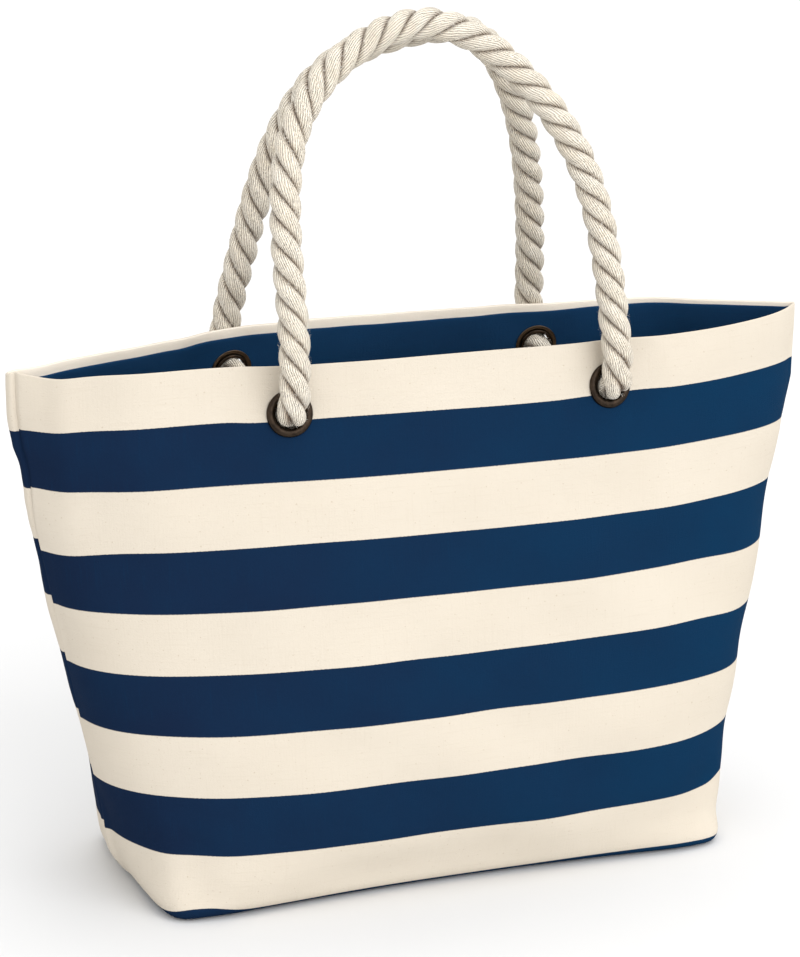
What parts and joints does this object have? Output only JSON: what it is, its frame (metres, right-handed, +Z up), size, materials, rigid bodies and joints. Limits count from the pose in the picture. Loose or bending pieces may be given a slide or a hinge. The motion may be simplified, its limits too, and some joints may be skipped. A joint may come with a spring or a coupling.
{
  "type": "beach bag",
  "caption": "Striped canvas beach tote with boxed base, open top and rope handles that pass through metal eyelets and swing down against the panels.",
  "frame": {"origin": "on the floor under the middle of the base", "axes": "+Z up, front panel towards -Y, side seams at -X and +X"},
  "size_m": [0.546, 0.1924, 0.5705],
  "materials": {
    "striped_canvas": "plain-woven cotton canvas, cream with printed navy stripes",
    "navy_facing": "matt navy cotton",
    "seam_binding": "cream cotton tape",
    "eyelet_metal": "dark antique brass, satin",
    "washer_metal": "dark antique brass, satin",
    "rope": "three-strand laid cotton, fuzzy",
    "whipping_thread": "waxed cotton thread"
  },
  "bodies": {
    "bag": {"front_panel": "striped_canvas", "back_panel": "striped_canvas", "front_facing": "navy_facing", "back_facing": "navy_facing", "left_side_seam": "seam_binding", "right_side_seam": "seam_binding", "left_corner_seam": "seam_binding", "right_corner_seam": "seam_binding", "base_seam": "seam_binding", "front_left_eyelet": "eyelet_metal", "front_left_washer": "washer_metal", "front_left_knot": "rope", "front_left_whipping": "whipping_thread", "front_right_eyelet": "eyelet_metal", "front_right_washer": "washer_metal", "front_right_knot": "rope", "front_right_whipping": "whipping_thread", "back_left_eyelet": "eyelet_metal", "back_left_washer": "washer_metal", "back_left_knot": "rope", "back_left_whipping": "whipping_thread", "back_right_eyelet": "eyelet_metal", "back_right_washer": "washer_metal", "back_right_knot": "rope", "back_right_whipping": "whipping_thread"},
    "front_handle_rope": {"front_handle": "rope"},
    "back_handle_rope": {"back_handle": "rope"}
  },
  "joints": [
    {"name": "front_handle_swing", "type": "hinge", "parent": "bag", "child": "front_handle_rope", "pos_m": [0, -0.071, 0.3284], "axis": [1, 0, 0], "range_deg": [0, 170]},
    {"name": "back_handle_swing", "type": "hinge", "parent": "bag", "child": "back_handle_rope", "pos_m": [0, 0.07957, 0.32809], "axis": [-1, 0, 0], "range_deg": [0, 170]}
  ]
}
